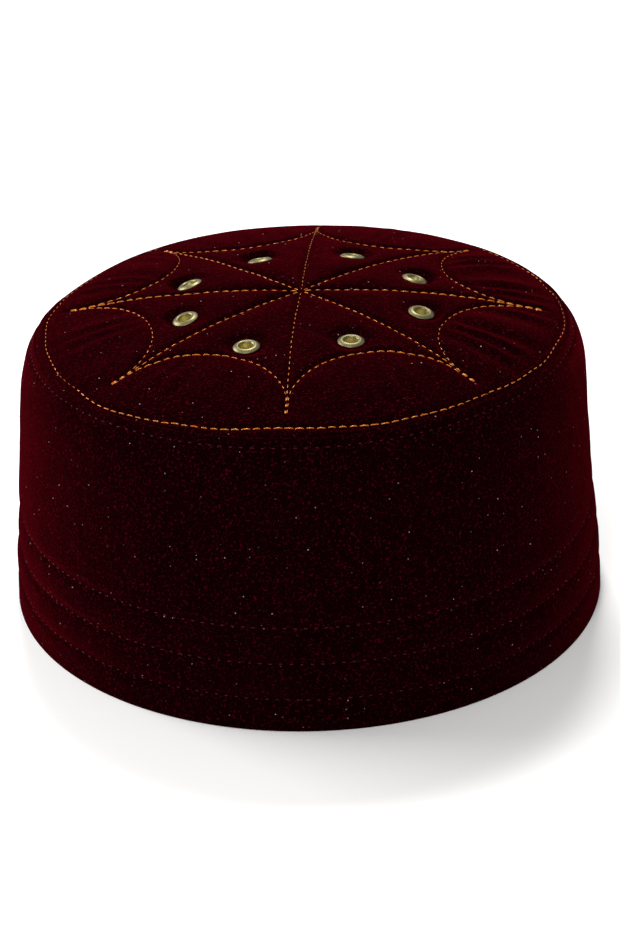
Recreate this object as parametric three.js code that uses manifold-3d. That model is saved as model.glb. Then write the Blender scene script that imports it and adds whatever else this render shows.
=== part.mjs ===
// A low round velvet cap: a quilted crown disc with an eight-pointed star of stitching,
// a soft upright wall with three stitched rows above its rim, and eight air eyelets.
// Millimetres, +Z up, -Y is the front. The origin is the middle of the rim's plane.

import * as THREE from 'three';
import { mergeVertices } from 'three/addons/utils/BufferGeometryUtils.js';
import Module from 'manifold-3d';

const wasm = await Module();
wasm.setup();

// Outer shape, from the rim up: a wall that tapers inward with a slight bulge, a rounded
// shoulder up to the stitched ring, and a shallow dome inside the ring.
const RIM_RADIUS = 95.5;
const WALL_HEIGHT = 70.5;
const WALL_TAPER = 7.0;
const WALL_BULGE = 0.5;
const SHOULDER_RISE = 19.8;
const SHOULDER_DEPTH = 8.5;
const SHOULDER_FULLNESS = 0.58;
const CROWN_RISE = 8.5;
const CROWN_FULLNESS = 2.5;

// The hat stands a little higher at the right and the back, and its top sits to the left and
// the back of its rim.
const RISE_RIGHT = 0.02;
const RISE_BACK = 0.02;
const SWAY_LEFT = 1.2;
const SWAY_BACK = 0.5;

// Cloth
const WALL_THICKNESS = 2.5;
const CROWN_THICKNESS = 3;
const RIM_ROUND = 0.6;
const SEAM_AT = 0.84;
const SEAM_GAP = 0.4;
const SEAM_SINK = 0.5;

// Stitching. Rows are pressed into the pile and the cloth swells between them.
const GROOVE_DEPTH = 0.6;
const GROOVE_HALF_WIDTH = 2.5;
const BAND_ROWS = 3;
const FIRST_ROW = 10.3;
const ROW_SPACING = 11.5;
const BAND_PUFF = 0.2;
const SHOULDER_ROW_AT = 0.66;
const BACK_SEAM_DEPTH = 0.5;
const STAR_MARGIN = 4.5;
const SCALLOP_DEPTH = 28;
const STAR_SHIFT = new THREE.Vector2(0.7, 0.9);
const CROWN_PUFF = 0.9;
const PUCKER_DEPTH = 0.45;

// Eyelets
const FLANGE_RADIUS = 4.05;
const FLANGE_HEIGHT = 0.9;
const BORE_RADIUS = 2;
const BARREL_RADIUS = 2.5;
const FOOT_RADIUS = 3.6;
const FOOT_HEIGHT = 0.8;
const GRIP = 1.8;
const EYELET_INSET = 9.3;
const EYELET_PRESS = 0.2;
const EYELET_GAP = 0.3;
const PIT_DEPTH = 0.9;
const PIT_RADIUS = 7;

// Fineness of the facets
const WALL_COLUMNS = 64;
const COLUMNS_A_BAY = 12;
const EYELET_SIDES = 12;

// Sizes that follow
const SHOULDER_RADIUS = RIM_RADIUS - WALL_TAPER;
const RING_RADIUS = SHOULDER_RADIUS - SHOULDER_DEPTH;
const RING_HEIGHT = WALL_HEIGHT + SHOULDER_RISE;
const FULL_HEIGHT = RING_HEIGHT + CROWN_RISE;
const STAR_RADIUS = RING_RADIUS - STAR_MARGIN;
const SCALLOP_RADIUS = STAR_RADIUS - SCALLOP_DEPTH;
const EYELET_RADIUS = SCALLOP_RADIUS - EYELET_INSET;
const FRONT = -Math.PI / 2;
const UP = new THREE.Vector3(0, 0, 1);

// Spokes of the star, from the front one counterclockwise: turn is degrees off the even
// spacing at the tip, bend what is added to it at the star's middle, and reach a share of
// STAR_RADIUS.
const SPOKES = [
  { turn: -3.9, bend: -2.0, reach: 0.975 },
  { turn: -3.6, bend: 3.8, reach: 0.99 },
  { turn: -4.9, bend: 3.6, reach: 0.99 },
  { turn: -6.2, bend: 5.9, reach: 0.95 },
  { turn: -4.6, bend: 0.8, reach: 1.02 },
  { turn: -5.4, bend: 2.3, reach: 0.96 },
  { turn: -5.3, bend: -2.8, reach: 0.975 },
  { turn: -3.7, bend: -4.6, reach: 0.985 },
];
const BAY_COUNT = SPOKES.length;
const BAY_TURN = (2 * Math.PI) / BAY_COUNT;

// Bays between the spokes, the first one after the front spoke. Scallop is a share of
// SCALLOP_RADIUS. Each bay has an eyelet: turn is degrees off the bay's even middle, reach a
// share of EYELET_RADIUS and tilt its outward slope in degrees beyond the dome's. Pucker is
// a share of PUCKER_DEPTH.
const BAYS = [
  { scallop: 0.98, turn: -0.6, reach: 1.01, tilt: -1, pucker: 0.4 },
  { scallop: 1.02, turn: -1.7, reach: 1.04, tilt: 8, pucker: 1.0 },
  { scallop: 1.02, turn: -6.9, reach: 0.97, tilt: 13, pucker: 1.0 },
  { scallop: 1.01, turn: -5.9, reach: 0.92, tilt: 12, pucker: 0.5 },
  { scallop: 1.0, turn: 1.1, reach: 0.86, tilt: 13, pucker: 0.4 },
  { scallop: 1.03, turn: 2.7, reach: 0.98, tilt: 14, pucker: 0.6 },
  { scallop: 1.03, turn: -0.4, reach: 1.0, tilt: 11, pucker: 0.5 },
  { scallop: 0.99, turn: -1.7, reach: 1.05, tilt: 1, pucker: 0.4 },
];

// Soft dents of the wall and shoulder: turn in degrees from +X, height a share of the full
// height, push a share of DENT_DEPTH with inward positive, spread in degrees, tall a share
// of the full height.
const DENT_DEPTH = 1.6;
const DENTS = [
  { turn: 152, height: 0.89, push: 1.25, spread: 18, tall: 0.16 },
  { turn: 356, height: 0.82, push: -0.7, spread: 24, tall: 0.12 },
  { turn: 108, height: 0.92, push: -0.4, spread: 14, tall: 0.1 },
  { turn: 192, height: 0.3, push: 0.45, spread: 14, tall: 0.1 },
  { turn: 352, height: 0.4, push: 0.4, spread: 14, tall: 0.12 },
  { turn: 45, height: 0.6, push: 0.4, spread: 20, tall: 0.2 },
  { turn: 262, height: 0.62, push: 0.25, spread: 24, tall: 0.2 },
];

const velvet = new THREE.MeshStandardMaterial({ color: 0x3a0412, roughness: 0.95, metalness: 0 });
const brass = new THREE.MeshStandardMaterial({ color: 0xa89a6a, roughness: 0.3, metalness: 1 });

function lean(point) {
  const share = point.z / FULL_HEIGHT;
  const rise = share * (point.x * RISE_RIGHT + point.y * RISE_BACK);
  return new THREE.Vector3(
    point.x - share * SWAY_LEFT,
    point.y + share * SWAY_BACK,
    point.z + rise,
  );
}

function bare(geometry) {
  geometry.deleteAttribute('normal');
  geometry.deleteAttribute('uv');
  return mergeVertices(geometry, 1e-4);
}

// A lathe whose points are then set one by one: place(point, column) gives the real spot of
// a profile point in one of the columns, before the lean.
function revolve(profile, columns, place) {
  const geometry = new THREE.LatheGeometry(profile, columns);
  const position = geometry.attributes.position;
  for (let column = 0; column <= columns; column += 1) {
    profile.forEach((point, row) => {
      const spot = lean(place(point, column % columns));
      position.setXYZ(column * profile.length + row, spot.x, spot.y, spot.z);
    });
  }
  return bare(geometry);
}

function onCircle(radius, angle, height) {
  return new THREE.Vector3(radius * Math.cos(angle), radius * Math.sin(angle), height);
}

function solidOf(geometry) {
  const vertProperties = new Float32Array(geometry.attributes.position.array);
  const triVerts = new Uint32Array(geometry.index.array);
  return new wasm.Manifold(new wasm.Mesh({ numProp: 3, vertProperties, triVerts }));
}

function geometryOf(solid) {
  const mesh = solid.getMesh();
  const geometry = new THREE.BufferGeometry();
  geometry.setAttribute('position', new THREE.BufferAttribute(mesh.vertProperties, 3));
  geometry.setIndex(new THREE.BufferAttribute(mesh.triVerts, 1));
  return geometry;
}

// The shoulder in section, from the top of the wall to the ring. It runs on from the wall's
// slope and into the dome's.
function shoulderCurve() {
  const foot = new THREE.Vector2(SHOULDER_RADIUS, WALL_HEIGHT);
  const head = new THREE.Vector2(RING_RADIUS, RING_HEIGHT);
  const alongWall = new THREE.Vector2(-WALL_TAPER - Math.PI * WALL_BULGE, WALL_HEIGHT);
  const alongDome = new THREE.Vector2(RING_RADIUS, -CROWN_FULLNESS * CROWN_RISE);
  alongWall.setLength(SHOULDER_FULLNESS * SHOULDER_RISE);
  alongDome.setLength(SHOULDER_FULLNESS * SHOULDER_DEPTH);
  return new THREE.CubicBezierCurve(foot, alongWall.add(foot), alongDome.add(head), head);
}

const shoulder = shoulderCurve();

// A point of the shoulder's section, some way along it and at a depth square to it.
function shoulderPoint(at, depth, along = 0) {
  const tangent = shoulder.getTangent(at);
  const inward = new THREE.Vector2(-tangent.y, tangent.x);
  return shoulder.getPoint(at).addScaledVector(tangent, along).addScaledVector(inward, depth);
}

function wallPoint(height, depth) {
  const share = height / WALL_HEIGHT;
  const bulge = WALL_BULGE * Math.sin(Math.PI * share);
  return new THREE.Vector2(RIM_RADIUS - WALL_TAPER * share + bulge - depth, height);
}

function dentAt(angle, height) {
  return DENTS.reduce((sum, dent) => {
    const turn = THREE.MathUtils.radToDeg(angle) - dent.turn;
    const side = THREE.MathUtils.euclideanModulo(turn + 180, 360) - 180;
    const up = (height / FULL_HEIGHT - dent.height) / dent.tall;
    const fade = Math.exp(-((side / dent.spread) ** 2) - up ** 2);
    return sum + dent.push * DENT_DEPTH * fade;
  }, 0);
}

// The wall's outside in section: the rim's edge, the stitched rows with the cloth swelling
// between them, the plain wall, and the shoulder with its own row, up to the crown's seam.
function wallOutside() {
  const outside = [new THREE.Vector2(RIM_RADIUS - RIM_ROUND, 0), wallPoint(RIM_ROUND, 0)];
  for (let row = 0; row < BAND_ROWS; row += 1) {
    const height = FIRST_ROW + row * ROW_SPACING;
    outside.push(wallPoint(height - GROOVE_HALF_WIDTH, -BAND_PUFF));
    outside.push(wallPoint(height, GROOVE_DEPTH));
    outside.push(wallPoint(height + GROOVE_HALF_WIDTH, -BAND_PUFF));
  }
  const bandTop = FIRST_ROW + (BAND_ROWS - 1) * ROW_SPACING + GROOVE_HALF_WIDTH;
  [0.25, 0.5, 0.75, 1].forEach((share) => {
    outside.push(wallPoint(THREE.MathUtils.lerp(bandTop, WALL_HEIGHT, share), 0));
  });
  [0.25, 0.45].forEach((at) => outside.push(shoulderPoint(at, 0)));
  outside.push(shoulderPoint(SHOULDER_ROW_AT, 0, -GROOVE_HALF_WIDTH / 2));
  outside.push(shoulderPoint(SHOULDER_ROW_AT, GROOVE_DEPTH));
  outside.push(shoulderPoint(SHOULDER_ROW_AT, 0, GROOVE_HALF_WIDTH / 2));
  outside.push(shoulderPoint(SEAM_AT, SEAM_SINK, -SEAM_GAP / 2));
  return outside;
}

function wallInside() {
  const inside = [shoulderPoint(SEAM_AT, WALL_THICKNESS, -SEAM_GAP / 2)];
  [0.5, 0].forEach((at) => inside.push(shoulderPoint(at, WALL_THICKNESS)));
  [0.6, 0.3].forEach((share) => inside.push(wallPoint(share * WALL_HEIGHT, WALL_THICKNESS)));
  inside.push(wallPoint(RIM_ROUND, WALL_THICKNESS));
  inside.push(new THREE.Vector2(RIM_RADIUS - WALL_THICKNESS + RIM_ROUND, 0));
  return inside;
}

// The wall as one closed loop turned round the hat, with a plain seam down its back. Dents
// move both its faces and fade out towards the rim, which lies flat.
function sideBand() {
  const outside = wallOutside();
  const profile = [...outside, ...wallInside(), outside[0].clone()];
  const seamColumn = WALL_COLUMNS / 4;
  return revolve(profile, WALL_COLUMNS, (point, column) => {
    const angle = (2 * Math.PI * column) / WALL_COLUMNS;
    const seam = column === seamColumn && outside.includes(point) ? BACK_SEAM_DEPTH : 0;
    const aboveRim = Math.min(1, point.y / FIRST_ROW);
    return onCircle(point.x - aboveRim * (dentAt(angle, point.y) + seam), angle, point.y);
  });
}

// Direction of the star at a place counted in bays from the front spoke. Share runs from the
// star's middle, where the spokes' bends are full, to the scallops and the border.
function starAngle(bays, share) {
  const spoke = Math.floor(bays);
  const turnOf = (k) => {
    const { turn, bend } = SPOKES[k % BAY_COUNT];
    return BAY_TURN * k + THREE.MathUtils.degToRad(turn + bend * (1 - share));
  };
  return FRONT + THREE.MathUtils.lerp(turnOf(spoke), turnOf(spoke + 1), bays - spoke);
}

// Distance from the star's middle to the scalloped line: a circle that touches both spokes
// of the bay and comes nearest to the middle halfway between them.
function scallopRadius(bays) {
  const bay = Math.floor(bays);
  const off = (bays - bay - 0.5) * BAY_TURN;
  const half = Math.sin(BAY_TURN / 2);
  const centre = (SCALLOP_RADIUS * BAYS[bay].scallop) / (1 - half);
  const reach = Math.max(0, (centre * half) ** 2 - (centre * Math.sin(off)) ** 2);
  return centre * Math.cos(off) - Math.sqrt(reach);
}

function domeHeight(spot) {
  return RING_HEIGHT + CROWN_RISE * (1 - (spot.length() / RING_RADIUS) ** CROWN_FULLNESS);
}

function eyeletSpot(k) {
  const angle = FRONT + BAY_TURN * (k + 0.5) + THREE.MathUtils.degToRad(BAYS[k].turn);
  const { x, y } = onCircle(EYELET_RADIUS * BAYS[k].reach, angle, 0);
  return new THREE.Vector2(x, y).add(STAR_SHIFT);
}

// How far the cloth is drawn down round the eyelets.
function pitDepth(spot) {
  return BAYS.reduce((sum, _, k) => {
    const away = eyeletSpot(k).distanceTo(spot) / PIT_RADIUS;
    return sum + PIT_DEPTH * Math.exp(-(away ** 2));
  }, 0);
}

// Place on the crown in plan. In the star, share runs from its middle to the scallops, and in
// the border from the scallops to the ring.
function crownSpot(zone, share, bays) {
  const angle = starAngle(bays, zone === 'star' ? share : 1);
  const ray = new THREE.Vector2(Math.cos(angle), Math.sin(angle));
  const scallop = ray.clone().multiplyScalar(scallopRadius(bays)).add(STAR_SHIFT);
  if (zone === 'star') return STAR_SHIFT.clone().lerp(scallop, share);
  return scallop.lerp(ray.multiplyScalar(RING_RADIUS - dentAt(angle, RING_HEIGHT)), share);
}

// How far the crown's upper face stands above the plain dome or, negative, below it.
function crownRelief(zone, share, bays, spot) {
  const bay = Math.floor(bays);
  const column = Math.round((bays - bay) * COLUMNS_A_BAY);
  const reach = STAR_RADIUS * SPOKES[bay].reach;
  const onSpoke = column === 0 && spot.distanceTo(STAR_SHIFT) <= reach;
  if (share === 0 || share === 1 || onSpoke) return -GROOVE_DEPTH;
  const swell = CROWN_PUFF * Math.sin(Math.PI * (bays - bay));
  const fold = PUCKER_DEPTH * BAYS[bay].pucker * (column % 2 ? 1 : -1);
  return (swell + (zone === 'border' ? fold : 0)) * Math.sin(Math.PI * share);
}

// The crown disc as rows of a lathe: along the underside from the middle to the seam, then
// back over the top.
function crownDisc() {
  const rows = [];
  [0, 0.35, 0.7, 1].forEach((share) => rows.push({ zone: 'star', share, top: false }));
  [0.5, 1].forEach((share) => rows.push({ zone: 'border', share, top: false }));
  [CROWN_THICKNESS, SEAM_SINK].forEach((depth) => rows.push({ zone: 'seam', depth }));
  [1, 0.9, 0.66, 0.4, 0.1].forEach((share) => rows.push({ zone: 'border', share, top: true }));
  [1, 0.93, 0.8, 0.62, 0.42, 0.2, 0].forEach((share) => rows.push({ zone: 'star', share, top: true }));

  const profile = rows.map((row, k) => new THREE.Vector2(1, k));
  return revolve(profile, BAY_COUNT * COLUMNS_A_BAY, (point, column) => {
    const { zone, share, depth, top } = rows[point.y];
    const bays = column / COLUMNS_A_BAY;
    if (zone === 'seam') {
      const edge = shoulderPoint(SEAM_AT, depth, SEAM_GAP / 2);
      const angle = starAngle(bays, 1);
      return onCircle(edge.x - dentAt(angle, edge.y), angle, edge.y);
    }
    const spot = crownSpot(zone, share, bays);
    const offset = top ? crownRelief(zone, share, bays, spot) : -CROWN_THICKNESS;
    return new THREE.Vector3(spot.x, spot.y, domeHeight(spot) - pitDepth(spot) + offset);
  });
}

// Section of an eyelet: foot, barrel and flange with its rolled crest, which flares down into
// the bore.
function eyeletProfile() {
  const foot = -GRIP - FOOT_HEIGHT;
  const crest = THREE.MathUtils.lerp(BORE_RADIUS, FLANGE_RADIUS, 0.6);
  const loop = [
    new THREE.Vector2(FOOT_RADIUS, foot),
    new THREE.Vector2(FOOT_RADIUS, -GRIP),
    new THREE.Vector2(BARREL_RADIUS, -GRIP),
    new THREE.Vector2(BARREL_RADIUS, 0),
    new THREE.Vector2(FLANGE_RADIUS, 0),
    new THREE.Vector2(FLANGE_RADIUS, FLANGE_HEIGHT * 0.4),
    new THREE.Vector2(crest, FLANGE_HEIGHT),
    new THREE.Vector2(THREE.MathUtils.lerp(BORE_RADIUS, crest, 0.4), FLANGE_HEIGHT * 0.55),
    new THREE.Vector2(BORE_RADIUS, 0),
    new THREE.Vector2(BORE_RADIUS, foot),
  ];
  return [...loop, loop[0].clone()];
}

// What an eyelet needs cleared in the cloth: its own section grown by the gap, open above
// the flange and below the foot.
function seatProfile() {
  const above = CROWN_THICKNESS * 2;
  const below = -GRIP - FOOT_HEIGHT - CROWN_THICKNESS;
  return [
    new THREE.Vector2(0, below),
    new THREE.Vector2(FOOT_RADIUS + EYELET_GAP, below),
    new THREE.Vector2(FOOT_RADIUS + EYELET_GAP, -GRIP + EYELET_GAP),
    new THREE.Vector2(BARREL_RADIUS + EYELET_GAP, -GRIP + EYELET_GAP),
    new THREE.Vector2(BARREL_RADIUS + EYELET_GAP, -EYELET_GAP),
    new THREE.Vector2(FLANGE_RADIUS + EYELET_GAP, -EYELET_GAP),
    new THREE.Vector2(FLANGE_RADIUS + EYELET_GAP, above),
    new THREE.Vector2(0, above),
  ];
}

// A lathe turned to stand along +Z.
function upright(profile) {
  return bare(new THREE.LatheGeometry(profile, EYELET_SIDES).rotateX(Math.PI / 2));
}

// Where the underside of flange k lies. It sits square to the dome, then tilts outward.
function eyeletSeat(k) {
  const spot = eyeletSpot(k);
  const height = domeHeight(spot) - pitDepth(spot) - EYELET_PRESS;
  const steepness = (spot.length() / RING_RADIUS) ** (CROWN_FULLNESS - 2);
  const slope = (CROWN_FULLNESS * CROWN_RISE * steepness) / RING_RADIUS ** 2;
  const normal = new THREE.Vector3(slope * spot.x - RISE_RIGHT, slope * spot.y - RISE_BACK, 1);
  const outward = spot.clone().sub(STAR_SHIFT).angle();
  const tilt = new THREE.Quaternion().setFromAxisAngle(
    onCircle(1, outward + Math.PI / 2, 0),
    THREE.MathUtils.degToRad(BAYS[k].tilt),
  );
  const turn = new THREE.Quaternion().setFromUnitVectors(UP, normal.normalize());
  const place = lean(new THREE.Vector3(spot.x, spot.y, height));
  return new THREE.Matrix4().compose(place, tilt.multiply(turn), new THREE.Vector3(1, 1, 1));
}

function crownTop() {
  let crown = solidOf(crownDisc());
  BAYS.forEach((_, k) => {
    crown = crown.subtract(solidOf(upright(seatProfile()).applyMatrix4(eyeletSeat(k))));
  });
  return geometryOf(crown);
}

function named(name, geometry, material) {
  const mesh = new THREE.Mesh(geometry, material);
  mesh.name = name;
  return mesh;
}

const hat = new THREE.Group();
hat.name = 'hat';
hat.add(named('side_band', sideBand(), velvet));
hat.add(named('crown_top', crownTop(), velvet));
BAYS.forEach((_, k) => {
  const eyelet = named(`eyelet_${k + 1}`, upright(eyeletProfile()), brass);
  eyelet.applyMatrix4(eyeletSeat(k));
  hat.add(eyelet);
});

export default hat;
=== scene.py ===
"""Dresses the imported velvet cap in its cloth, thread and brass on a pale studio floor.

Lengths are millimetres until a mesh is made, and angles are radians from +X unless a name or
a docstring says degrees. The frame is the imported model's: +Z up, -Y the front, and the origin
in the middle of the plane that the rim rests in.
"""

import logging
import math
from dataclasses import dataclass
from enum import Enum

import bpy
import numpy as np
from mathutils import Matrix, Vector, noise
from mathutils.bvhtree import BVHTree
from mathutils.kdtree import KDTree


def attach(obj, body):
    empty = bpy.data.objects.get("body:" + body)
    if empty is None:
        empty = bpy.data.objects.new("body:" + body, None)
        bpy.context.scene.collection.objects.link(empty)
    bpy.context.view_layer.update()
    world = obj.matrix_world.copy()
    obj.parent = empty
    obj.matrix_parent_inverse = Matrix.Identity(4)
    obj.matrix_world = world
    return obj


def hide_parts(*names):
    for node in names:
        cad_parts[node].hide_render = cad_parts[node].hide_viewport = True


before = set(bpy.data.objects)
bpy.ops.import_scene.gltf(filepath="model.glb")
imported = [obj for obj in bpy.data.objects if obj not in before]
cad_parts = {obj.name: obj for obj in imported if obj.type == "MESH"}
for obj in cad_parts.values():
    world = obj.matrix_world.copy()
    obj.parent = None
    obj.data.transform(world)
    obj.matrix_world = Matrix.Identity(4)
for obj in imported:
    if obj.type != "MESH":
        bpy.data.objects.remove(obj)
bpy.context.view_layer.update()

log = logging.getLogger("velvet_cap")
Piece = bpy.types.Object
Material = bpy.types.Material
Tree = bpy.types.NodeTree
Socket = bpy.types.NodeSocket
MM = 0.001
FRONT = -math.pi / 2
# A Mix node's colour sockets share their names with its number sockets, so they go by number.
LOW_COLOUR, HIGH_COLOUR, MIXED_COLOUR = 6, 7, 2


class Zone(Enum):
    """Parts of the crown, from its middle outward."""

    STAR = "star"
    BORDER = "border"


class Cloth(Enum):
    """Faces of the cloth, as material slots of a mesh."""

    PILE = 0
    BACKING = 1


class Polish(Enum):
    """Tones of an eyelet's brass, as material slots of a mesh: its own brass, and a paler brass in the
    throat that is painted light.
    """

    HANDLED = 0
    THROAT_PAINTED_LIGHT = 1


@dataclass(frozen=True)
class Spoke:
    """A spoke of the star.

    Its turn is degrees off the even spacing at the tip, its bend what is added to that at the
    star's middle, and its reach a share of the star's radius.
    """

    turn: float
    bend: float
    reach: float


@dataclass(frozen=True)
class Bay:
    """Between two spokes: the scallop's share, the eyelet's turn, reach and tilt, and puckers."""

    scallop: float
    turn: float
    reach: float
    tilt: float
    pucker: float


@dataclass(frozen=True)
class Drift:
    """A stretch where the sewn ring strays: degrees from +X, how far outward, and its spread."""

    turn: float
    out: float
    spread: float


@dataclass(frozen=True)
class Dent:
    """A soft dent: degrees from +X, shares of full height and of the depth, and its spread."""

    turn: float
    height: float
    push: float
    spread: float
    tall: float


@dataclass(frozen=True)
class Softbox:
    """A soft square light that points at the hat: its place and width in metres, and watts."""

    name: str
    place: tuple[float, float, float]
    width: float
    power: float


@dataclass(frozen=True)
class SewnLine:
    """A line to stitch: points on the cloth, its outward directions, and if it is a round."""

    points: np.ndarray
    normals: np.ndarray
    closed: bool


SPOKES = (
    Spoke(-3.9, -2.0, 0.975),
    Spoke(-3.6, 3.8, 0.99),
    Spoke(-4.9, 3.6, 0.99),
    Spoke(-6.2, 5.9, 0.95),
    Spoke(-4.6, 0.8, 1.02),
    Spoke(-5.4, 2.3, 0.96),
    Spoke(-5.3, -2.8, 0.975),
    Spoke(-3.7, -4.6, 0.985),
)
BAYS = (
    Bay(0.98, -0.6, 1.01, -1, 0.4),
    Bay(1.02, -1.7, 1.04, 8, 1.0),
    Bay(1.02, -6.9, 0.97, 13, 1.0),
    Bay(1.01, -5.9, 0.92, 12, 0.5),
    Bay(1.0, 1.1, 0.86, 13, 0.4),
    Bay(1.03, 2.7, 0.98, 14, 0.6),
    Bay(1.03, -0.4, 1.0, 11, 0.5),
    Bay(0.99, -1.7, 1.05, 1, 0.4),
)
DENTS = (
    Dent(152, 0.89, 1.25, 18, 0.16),
    Dent(356, 0.82, -0.7, 24, 0.12),
    Dent(108, 0.92, -0.4, 14, 0.1),
    Dent(192, 0.3, 0.45, 14, 0.1),
    Dent(352, 0.4, 0.4, 14, 0.12),
    Dent(45, 0.6, 0.4, 20, 0.2),
    Dent(262, 0.62, 0.25, 24, 0.2),
)
RING_DRIFTS = (
    Drift(-172, -1.0, 14),
    Drift(-133, 1.3, 10),
    Drift(-93, -1.7, 11),
    Drift(-32, 1.3, 13),
    Drift(-8, 1.2, 13),
)
SOFTBOXES = (
    Softbox("left_back_softbox", (-1.1, 0.4, 0.55), 0.8, 17.0),
    Softbox("right_back_softbox", (1.2, 0.6, 0.5), 0.7, 1.0),
    Softbox("overhead_softbox", (0.0, 0.72, 1.28), 0.28, 15.0),
    Softbox("front_softbox", (-0.25, -1.1, 1.0), 0.6, 9.0),
)
BAY_TURN = 2 * math.pi / len(BAYS)


def linear(colour: str) -> tuple[float, float, float, float]:
    """Turns an sRGB hex colour into a linear one.

    Args:
        colour: The colour, such as "#3A0412".

    Returns:
        Linear red, green and blue, and full alpha.
    """
    parts = [int(colour[k : k + 2], 16) / 255 for k in (1, 3, 5)]
    red, green, blue = [p / 12.92 if p <= 0.04045 else ((p + 0.055) / 1.055) ** 2.4 for p in parts]
    return red, green, blue, 1.0


def add_node(tree: Tree, kind: str, inputs: dict, out: str | int = 0, **settings) -> Socket | None:
    """Adds a node with its settings and links.

    Args:
        tree: The node tree it goes in.
        kind: The node's type name after "ShaderNode".
        inputs: Socket names or numbers, each with a value or with the output that feeds it.
        out: Name or number of the output that is wanted.
        **settings: Properties of the node.

    Returns:
        That output, or None for a node without outputs.
    """
    node = tree.nodes.new("ShaderNode" + kind)
    for key, value in settings.items():
        setattr(node, key, value)
    for socket, value in inputs.items():
        if isinstance(value, Socket):
            tree.links.new(value, node.inputs[socket])
        else:
            node.inputs[socket].default_value = value
    return node.outputs[out] if len(node.outputs) else None


class Finish:
    """A surface finish, whose pattern is laid over the piece in real sizes."""

    name: str

    def shader(self, tree: Tree, place: Socket) -> Socket:
        """Builds the finish's own nodes and returns its shader."""
        raise NotImplementedError

    def mottle(
        self, tree: Tree, place: Socket, patch: float, colours: tuple[str, str], **grain: float
    ) -> tuple[Socket, Socket]:
        """Lays uneven patches that shade from one colour to another.

        Args:
            tree: The finish's node tree.
            place: Coordinates of the surface.
            patch: Size of a patch.
            colours: Hex colours where the pattern is low and where it is high.
            **grain: How fine and how strong the grain in the patches is.

        Returns:
            The pattern and the colour.
        """
        pattern = add_node(tree, "TexNoise", {"Vector": place, "Scale": 1 / (patch * MM), **grain})
        low, high = (linear(colour) for colour in colours)
        ends = {"Factor": pattern, LOW_COLOUR: low, HIGH_COLOUR: high}
        return pattern, add_node(tree, "Mix", ends, MIXED_COLOUR, data_type="RGBA")

    def material(self) -> Material:
        """Makes the material round the finish's shader.

        Returns:
            The material.
        """
        material = bpy.data.materials.new(self.name)
        material.use_nodes = True
        tree = material.node_tree
        tree.nodes.clear()
        place = add_node(tree, "TexCoord", {}, "Object")
        add_node(tree, "OutputMaterial", {"Surface": self.shader(tree, place)})
        return material


@dataclass(frozen=True)
class VelvetPile(Finish):
    """Rayon velvet, woven with a short pile that is cut and dyed burgundy."""

    # Light falls between the cut fibres and is lost, so a face turned to the eye is nearly
    # black, while their sides catch light at a glancing angle and glow crimson.
    name: str = "velvet_pile"
    deep: str = "#060001"
    brushed: str = "#100102"
    # Painted highlight: a pale crimson laid in the base colour on the brightest tufts, as glints of the
    # fibres.
    painted_glint: str = "#650B1C"
    lint: str = "#A88C90"
    sheen_tint: str = "#58040E"
    sheen_roughness: float = 0.34
    # The nap lies this way and that in patches about as wide as a fingertip.
    nap_patch: float = 11.0
    # Real tufts are about 0.3 mm across. They are drawn coarser, so that they show.
    tuft: float = 0.75
    painted_glint_from: float = 0.57
    painted_glint_full: float = 0.76
    painted_glint_most: float = 0.52
    # Specks of lint, also coarser than real ones. Most places that could have one stay bare.
    lint_spacing: float = 2.6
    lint_size: float = 0.2
    lint_from: float = 0.2
    lint_rarity: float = 3.0
    bump_height: float = 0.5

    def shader(self, tree: Tree, place: Socket) -> Socket:
        """Builds dark dye, brushed patches, painted glints on the tufts and specks of lint.

        Args:
            tree: The finish's node tree.
            place: Coordinates of the surface.

        Returns:
            The shader.
        """
        patches, dye = self.mottle(
            tree, place, self.nap_patch, (self.deep, self.brushed), Detail=3.0, Roughness=0.6
        )
        tuft_scale = 1 / (self.tuft * MM)
        tufts = add_node(
            tree, "TexNoise", {"Vector": place, "Scale": tuft_scale, "Detail": 2.0, "Roughness": 0.75}
        )
        # Painted highlight: the brightest tufts are mixed toward the glint colour in the base colour.
        painted_glint_mask = add_node(tree, "MapRange", {
            "Value": tufts, "From Min": self.painted_glint_from, "From Max": self.painted_glint_full,
            "To Max": self.painted_glint_most,
        })
        painted_glint_mix = {"Factor": painted_glint_mask, LOW_COLOUR: dye, HIGH_COLOUR: linear(self.painted_glint)}
        dye = add_node(tree, "Mix", painted_glint_mix, MIXED_COLOUR, data_type="RGBA")
        lint_scale = 1 / (self.lint_spacing * MM)
        away = add_node(tree, "TexVoronoi", {"Vector": place, "Scale": lint_scale}, "Distance")
        near = add_node(
            tree, "Math", {0: away, 1: self.lint_size / self.lint_spacing}, operation="LESS_THAN"
        )
        chance = add_node(tree, "SeparateColor", {"Color": away.node.outputs["Color"]})
        chance = add_node(tree, "MapRange", {"Value": chance, "From Min": self.lint_from})
        paleness = add_node(tree, "Math", {0: chance, 1: self.lint_rarity}, operation="POWER")
        is_lint = add_node(tree, "Math", {0: near, 1: paleness}, operation="MULTIPLY")
        linted = {"Factor": is_lint, LOW_COLOUR: dye, HIGH_COLOUR: linear(self.lint)}
        colour = add_node(tree, "Mix", linted, MIXED_COLOUR, data_type="RGBA")
        height = add_node(tree, "Math", {0: patches, 1: tufts}, operation="ADD")
        bump = add_node(
            tree, "Bump", {"Strength": 0.8, "Distance": self.bump_height * MM, "Height": height}
        )
        return add_node(tree, "BsdfPrincipled", {
            "Base Color": colour,
            "Roughness": 1.0,
            "Specular IOR Level": 0.0,
            "Sheen Weight": 1.0,
            "Sheen Roughness": self.sheen_roughness,
            "Sheen Tint": linear(self.sheen_tint),
            "Normal": bump,
        })


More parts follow.
